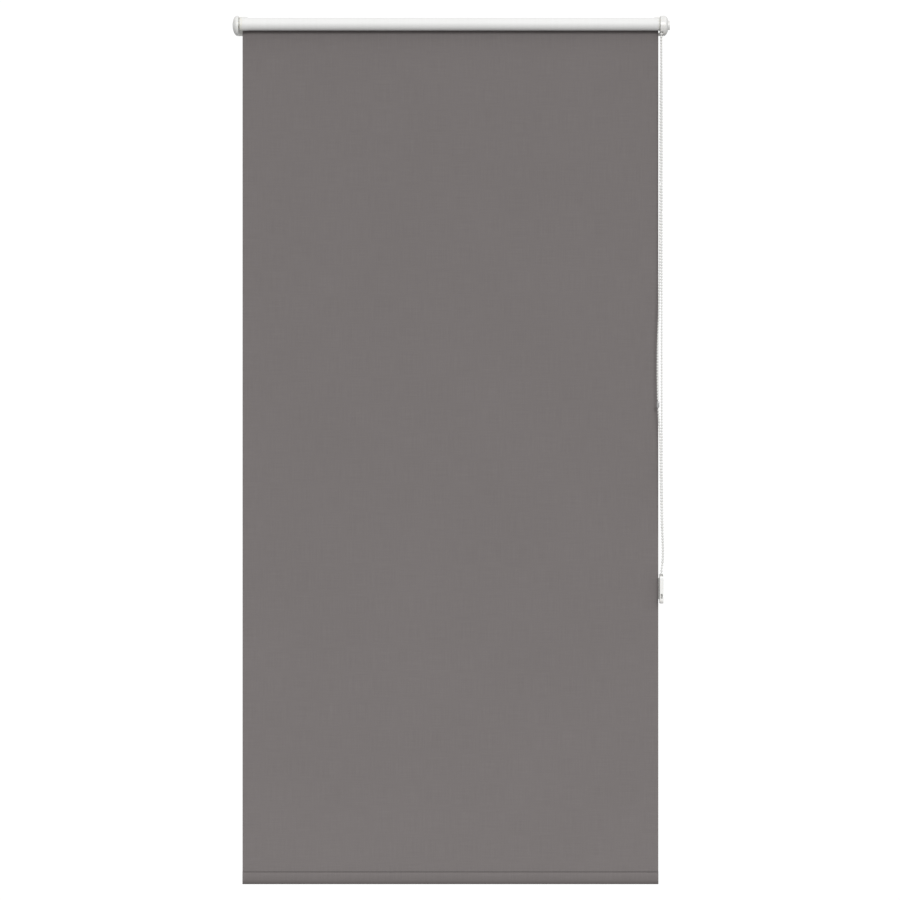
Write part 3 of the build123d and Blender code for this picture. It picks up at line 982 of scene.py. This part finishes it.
    def over_sprocket(self) -> bpy.types.Object:
        """Make the beads that sit in the sprocket's upper pockets, with the cord through them.

        Returns:
            The piece.
        """
        centre = Vector((self.plane_x, (self.front_y + self.back_y) / 2, self.axis_z))
        radius = (self.back_y - self.front_y) / 2
        beads = ball(self.bead, self.pocket_bead_sides, self.pocket_bead_rings)
        step = 2 * math.pi / self.pockets
        for number in range(self.pockets // 2):
            angle = (number + 0.5) * step
            out = Vector((0.0, math.cos(angle), math.sin(angle)))
            beads.add(self.bead_at(centre + out * radius, Vector((0.0, -out.z, out.y))))
        bm = bmesh.new()
        beads.gather(bm)
        bead_faces = set(bm.faces)
        start = Matrix.Translation(centre + Vector((0.0, radius, 0.0)))
        ring = bmesh.ops.create_circle(bm, segments=self.cord_sides, radius=self.cord, matrix=start)
        edges = list({edge for vertex in ring["verts"] for edge in vertex.link_edges})
        bmesh.ops.spin(
            bm,
            geom=edges,
            cent=centre,
            axis=(1, 0, 0),
            angle=math.pi,
            steps=self.wrap_steps,
            use_merge=False,
        )
        ends = [edge for edge in bm.edges if edge.is_boundary]
        bmesh.ops.holes_fill(bm, edges=ends, sides=0)
        new = [face for face in bm.faces if face not in bead_faces]
        bmesh.ops.recalc_face_normals(bm, faces=new)
        for face in new:
            face.material_index = 1
        wrap = to_object(bm, "sprocket_beads", [CHAIN_WHITE, CHAIN_CORD], 60.0)
        return fit_out(wrap, "mounting", "chain_plastic", "chain_wrap")

    def joiner(self) -> bpy.types.Object:
        """Make the snap link: two cupped halves with a waist.

        Returns:
            The piece.
        """
        low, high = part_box("chain_joiner")
        middle = (low + high) / 2
        half = (high.z - low.z) / 2
        radius = (high.x - low.x) / 2
        cup = [
            (radius * 0.84, half * 0.12),
            (radius, half * 0.22),
            (radius, half * 0.62),
            (radius * 0.86, half * 0.90),
            (radius * 0.62, half),
            (self.joiner_mouth, half),
        ]
        shape = [(r, -z) for r, z in reversed(cup)] + cup
        bm = bmesh.new()
        verts = [bm.verts.new((r, 0.0, z)) for r, z in shape]
        edges = [bm.edges.new(pair) for pair in zip(verts, verts[1:])]
        bmesh.ops.spin(
            bm,
            geom=edges,
            cent=(0, 0, 0),
            axis=(0, 0, 1),
            angle=2 * math.pi,
            steps=self.joiner_sides,
            use_merge=True,
        )
        bmesh.ops.remove_doubles(bm, verts=bm.verts, dist=1e-6)
        holes = [edge for edge in bm.edges if edge.is_boundary]
        bmesh.ops.holes_fill(bm, edges=holes, sides=0)
        bmesh.ops.recalc_face_normals(bm, faces=bm.faces)
        bmesh.ops.translate(bm, verts=bm.verts, vec=middle)
        link = to_object(bm, "chain_link", [JOINER_GREY], 30.0)
        return fit_out(link, "mounting", "joiner_plastic", "chain_joiner")

    def build(self) -> None:
        points, cord = self.read()
        chain = self.free_run(points, cord)
        self.over_sprocket()
        link = self.joiner()


# ---------------------------------------------------------------------- fabric


@dataclass
class Cloth:
    """The blackout cloth: the hanging sheet, the lap on the tube and the hem."""

    thickness: float = 0.30 * MM
    travel: float = 1.70
    # the hanging sheet
    edge_gap: float = 0.15 * MM
    edge_curl: float = 0.9 * MM
    curl_reach: float = 6.0 * MM
    curl_starts: float = 0.35
    curl_grows_over: float = 0.25
    ripple: float = 0.55 * MM
    sheet_columns: int = 90
    sheet_rows: int = 140
    # the lap on the tube
    roller_y: float = -30.0 * MM
    lap: float = 0.32 * MM
    loose_end: float = 0.55 * MM
    loose_reach: float = 12.0 * MM
    winding_mark: float = 0.03 * MM
    lap_columns: int = 120
    lap_steps: int = 96
    # the hem
    seam_band: float = 3.0 * MM
    seam_below_top: float = 0.8 * MM
    seam_shade: float = 0.55
    fold_shade_height: float = 2.5 * MM
    fold_shade_fade: float = 5.5 * MM
    pucker: float = 0.10 * MM
    hem_columns: int = 170
    fold_steps: int = 14
    # the stitches
    stitch: float = 3.2 * MM
    stitch_half: float = 0.41
    stitch_inset: float = 4.0 * MM
    stitch_lean: float = 0.06 * MM
    thread: float = 0.20 * MM

    def __post_init__(self) -> None:
        """Read the cloth's place from the frame."""
        self.low, self.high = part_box("fabric_drop")
        self.hem_low, self.hem_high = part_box("fabric_hem")
        self.width = self.high.x - self.low.x
        self.front_y = self.low.y

    def drift(self, x: float, z: float) -> float:
        """How far the hanging cloth stands off its flat plane, towards the wall.

        Args:
            x: The place along the roller.
            z: The height.

        Returns:
            The distance, which is 0 at the roll and at the hem.
        """
        across = (x - self.low.x) / self.width
        fall = (self.high.z - z) / (self.high.z - self.low.z)
        free = math.sin(math.pi * fall) ** 0.5 if 0 < fall < 1 else 0.0
        edge = min(x - self.low.x, self.high.x - x)
        below_roll = min(1.0, max(0.0, (fall - self.curl_starts) / self.curl_grows_over)) ** 2
        curl = self.edge_curl * math.exp(-edge / self.curl_reach) * below_roll
        wave = noise.noise(Vector((across * 7.0, fall * 1.6, 4.2)))
        return (curl + self.ripple * wave) * free

    def map_sheet(self, bm: bmesh.types.BMesh) -> None:
        """Give the hanging sheet its UV map, in metres across and along the cloth.

        Args:
            bm: The sheet, which lies nearly flat.
        """
        layer = bm.loops.layers.uv.new(WEAVE_MAP)
        for face in bm.faces:
            for loop in face.loops:
                loop[layer].uv = loop.vert.co.xz

    def thicken(self, bm: bmesh.types.BMesh) -> None:
        """Give cloth its thickness, behind the faces it has.

        Args:
            bm: The cloth's outer faces; the coated side gets material 1 and the rest stays at 0.
        """
        outer = set(bm.faces)
        bmesh.ops.solidify(bm, geom=list(bm.faces), thickness=self.thickness)
        for face in bm.faces:
            if face not in outer:
                rim = any(len(set(edge.link_faces) & outer) for edge in face.edges)
                face.material_index = 0 if rim else 1

    def drop(self) -> bpy.types.Object:
        """Make the hanging sheet.

        Returns:
            The piece.
        """
        bm = bmesh.new()
        bmesh.ops.create_grid(
            bm, x_segments=self.sheet_columns, y_segments=self.sheet_rows, size=0.5
        )
        height = self.high.z - self.low.z
        bmesh.ops.scale(bm, vec=(self.width - 2 * self.edge_gap, height, 1.0), verts=bm.verts)
        upright = Matrix.Rotation(math.pi / 2, 3, "X")
        bmesh.ops.rotate(bm, cent=(0, 0, 0), matrix=upright, verts=bm.verts)
        centre = (self.low + self.high) / 2
        bmesh.ops.translate(bm, vec=(centre.x, self.front_y, centre.z), verts=bm.verts)
        for vertex in bm.verts:
            vertex.co.y += self.drift(vertex.co.x, vertex.co.z)
        self.map_sheet(bm)
        self.thicken(bm)
        sheet = to_object(bm, "hanging_cloth", [GREY_CLOTH, WHITE_COAT], 30.0)
        fit_out(sheet, "mounting", "fabric_face", "fabric_drop")
        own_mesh(sheet)
        return sheet

    def strip(self, outline: list[tuple[float, float]], columns: int) -> bmesh.types.BMesh:
        """Make cloth that follows an outline across the sheet's whole width.

        Args:
            outline: The section's points as (y, z).
            columns: How many columns of faces the width gets.

        Returns:
            The cloth, mapped by the length along its section; each vertex holds that length too.
        """
        bm = bmesh.new()
        along = bm.verts.layers.float.new(ALONG)
        weave = bm.loops.layers.uv.new(WEAVE_MAP)
        row = [bm.verts.new((self.low.x, y, z)) for y, z in outline]
        for before, after in zip(row, row[1:]):
            after[along] = before[along] + (after.co - before.co).length
        edges = [bm.edges.new(pair) for pair in zip(row, row[1:])]
        made = bmesh.ops.extrude_edge_only(bm, edges=edges)["geom"]
        far = [item for item in made if isinstance(item, bmesh.types.BMVert)]
        bmesh.ops.translate(bm, vec=(self.width, 0.0, 0.0), verts=far)
        rows = [edge for edge in bm.edges if edge.calc_length() > self.width / 2]
        bmesh.ops.subdivide_edges(bm, edges=rows, cuts=columns - 1, use_grid_fill=True)
        for face in bm.faces:
            for loop in face.loops:
                loop[weave].uv = (loop.vert.co.x, self.hem_high.z - loop.vert[along])
        return bm

    def lap_section(self) -> list[tuple[float, float]]:
        """Give the lap's outer outline, once round the tube and winding in by a thickness.

        Returns:
            Its points as (y, z).
        """
        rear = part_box("fabric_roll")[1].y
        shift = self.lap / 4
        section = []
        for angle in spans(0.0, 2 * math.pi, self.lap_steps):
            turned = 1 if angle <= math.pi else -1
            radius = rear - self.roller_y - (2 - turned) * shift
            centre = Vector((self.roller_y + turned * shift, self.high.z))
            section.append(tuple(centre + radius * Vector((math.cos(angle), math.sin(angle)))))
        return section

    def roll(self) -> bpy.types.Object:
        """Make the lap of cloth on the tube, coated side out, a little loose at its left end.

        Returns:
            The piece.
        """
        bm = self.strip(self.lap_section(), self.lap_columns)
        along = bm.verts.layers.float[ALONG]
        lap_length = max(vertex[along] for vertex in bm.verts)
        for vertex in bm.verts:
            out = Vector((0.0, vertex.co.y - self.roller_y, vertex.co.z - self.high.z)).normalized()
            vertex.co += out * self.ease(vertex.co.x, vertex[along] / lap_length)
        front = min(bm.faces, key=lambda face: face.calc_center_median().y)
        self.turn(bm, front, outwards=(0.0, -1.0, 0.0))
        self.thicken(bm)
        roll = to_object(bm, "cloth_roll", [WHITE_COAT, GREY_CLOTH], 40.0)
        return fit_out(roll, "roller", "fabric_back", "fabric_roll")

    def ease(self, x: float, share: float) -> float:
        """How far the lap lifts off the roll: a loose left end and faint winding marks.

        Args:
            x: The place along the roller.
            share: How much of the lap comes before this place, from 0 to 1.

        Returns:
            The lift, which is 0 at both ends of the lap.
        """
        free = math.sin(math.pi * min(1.0, max(0.0, share))) ** 0.5
        loose = self.loose_end * math.exp(-(((x - self.low.x) / self.loose_reach) ** 4))
        mark = self.winding_mark * noise.noise(Vector((x * 9.0, share * 4.9, 1.7)))
        return (loose + mark) * free

    @staticmethod
    def turn(bm: bmesh.types.BMesh, sample: bmesh.types.BMFace, outwards: Point) -> None:
        """Turn all the faces the way that one of them should look.

        Args:
            bm: The cloth's faces, which share one sheet.
            sample: One of them.
            outwards: The way that the sample should look.
        """
        bmesh.ops.recalc_face_normals(bm, faces=bm.faces)
        if sample.normal.dot(Vector(outwards)) < 0:
            bmesh.ops.reverse_faces(bm, faces=bm.faces)

    def hem_profile(self) -> list[tuple[float, float]]:
        """Give the hem's outer outline: seam in front, round the bar, seam behind.

        Returns:
            Its points as (y, z).
        """
        middle = (self.hem_low.y + self.hem_high.y) / 2
        half = (self.hem_high.y - self.hem_low.y) / 2
        top, bottom = self.hem_high.z, self.hem_low.z
        seam = top - self.seam_band
        front = [(-self.thickness, top), (-self.thickness, top - 1.2 * MM), (-self.thickness, seam)]
        front += [(-half * 0.55, seam - 0.7 * MM), (-half * 0.9, seam - 1.8 * MM)]
        front += [(-half, seam - 3.6 * MM), (-half, bottom + 9.0 * MM), (-half, bottom + 4.0 * MM)]
        fold = [
            (-half * math.cos(angle), bottom + half - half * math.sin(angle))
            for angle in spans(0.0, math.pi, self.fold_steps)
        ]
        behind = [(-y, z) for y, z in reversed(front)]
        return [(middle + y, z) for y, z in front + fold + behind]

    def weld_and_shade(self, z: float) -> float:
        """How dark the hem is painted: painted shade under its bottom fold, and a weld line with
        painted groove shade along its seam.

        Args:
            z: The height.

        Returns:
            The share, from 0 to 1.
        """
        seam = (z - (self.hem_high.z - self.seam_band - 0.6 * MM)) / (0.8 * MM)
        fold = math.exp((self.hem_low.z + self.fold_shade_height - z) / self.fold_shade_fade)
        return max(self.seam_shade * max(0.0, min(1.0, seam)), min(1.0, fold))

    def hem(self) -> bpy.types.Object:
        """Make the pocket of cloth round the bottom bar, puckered a little below its seam.

        Returns:
            The piece.
        """
        bm = self.strip(self.hem_profile(), self.hem_columns)
        highest = self.hem_high.z - 2.0 * MM
        lowest = self.hem_high.z - self.seam_band - 3.0 * MM
        for vertex in bm.verts:
            if lowest < vertex.co.z < highest:
                vertex.co.y += self.pucker * noise.noise(Vector((vertex.co.x * 60.0, 0.0, 8.1)))
        front = min(bm.faces, key=lambda face: face.calc_center_median().y)
        self.turn(bm, front, outwards=(0.0, -1.0, 0.0))
        self.thicken(bm)
        # painted shade under the bottom fold and along the seam, with the seam's weld line, kept on
        # each vertex
        shade_layer = bm.verts.layers.float.new(HEM_SHADE_ATTRIBUTE)
        for vertex in bm.verts:
            vertex[shade_layer] = self.weld_and_shade(vertex.co.z)
        hem = to_object(bm, "hem_pocket", [GREY_CLOTH, WHITE_COAT], 35.0)
        return fit_out(hem, "bottom_bar", "fabric_face", "fabric_hem")

    def stitches(self) -> bpy.types.Object:
        """Make the lockstitch row along the seam, front and back.

        Returns:
            The piece.
        """
        z = self.hem_high.z - self.seam_below_top
        middle_y = (self.hem_low.y + self.hem_high.y) / 2
        count = int((self.width - 2 * self.stitch_inset) / self.stitch) + 1
        lying = Matrix.Rotation(math.pi / 2, 4, "Y")
        drawn_out = Matrix.Diagonal((1.0, 1.0, self.stitch * self.stitch_half / self.thread, 1.0))
        row = ball(self.thread, 6, 5)
        for side in (-1, 1):
            y = middle_y + side * (self.thickness + 0.02 * MM)
            for number in range(count):
                x = self.low.x + self.stitch_inset + number * self.stitch
                lean = self.stitch_lean * math.sin(number * 12.9898)
                row.add(Matrix.Translation((x, y, z + lean)) @ lying @ drawn_out)
        bm = bmesh.new()
        row.gather(bm)
        seam = to_object(bm, "hem_stitches", [SHADED_SEAM_THREAD], 60.0)
        return fit_out(seam, "bottom_bar", "fabric_face")

    def build(self) -> None:
        drop = self.drop()
        self.roll()
        hem = self.hem()
        stitches = self.stitches()


# ------------------------------------------------------------------- CAD nodes


class CadFinish(Enum):
    """Which finish each CAD node that stays on show is given."""

    COVERS = (COVER_WHITE, ("left_cover", "right_cover", "chain_guard"))
    BRACKETS = (BRACKET_WHITE, ("left_bracket", "right_bracket"))
    TENSIONER = (TENSIONER_WHITE, ("tensioner_case", "tensioner_base"))
    NYLONS = (
        NYLON,
        (
            "idle_bush",
            "end_plug",
            "pin_retainer",
            "drive_core",
            "tube_adapter",
            "sprocket",
            "bar_cap_left",
            "bar_cap_right",
            "tensioner_wheel",
        ),
    )
    TUBE = (TUBE_METAL, ("roller_tube",))
    STEEL = (PIN_STEEL, ("idle_pin", "core_screw", "core_clip", "tensioner_pin"))
    SPRINGS = (SPRING_STEEL, ("pin_spring", "wrap_spring_inner", "wrap_spring_outer"))
    BAR = (BAR_PAINT, ("bottom_bar",))
    STICKY = (TAPE, ("fabric_tape",))

    def dress(self) -> None:
        """Put the finish on its nodes."""
        finish, nodes = self.value
        for node in nodes:
            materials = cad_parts[node].data.materials
            materials.clear()
            materials.append(WARDROBE.get(finish))
            log.info("%s: %s", node, finish.name)


@dataclass
class IdlePin:
    """The pin that holds the roller's left end, and the spring that pushes it out."""

    travel: float = 5.1 * MM

    def fold_spring(self) -> None:
        """Give the spring its own copy of its mesh."""
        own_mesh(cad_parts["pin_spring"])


def main() -> None:
    """Build the blind's looks, piece by piece."""
    logging.basicConfig(level=logging.INFO, format="%(name)s %(message)s")
    studio = StudioSet()
    studio.camera()
    BeadChain().build()
    Cloth().build()
    for group in CadFinish:
        group.dress()
    IdlePin().fold_spring()
    studio.build()


if __name__ == "__main__":
    main()
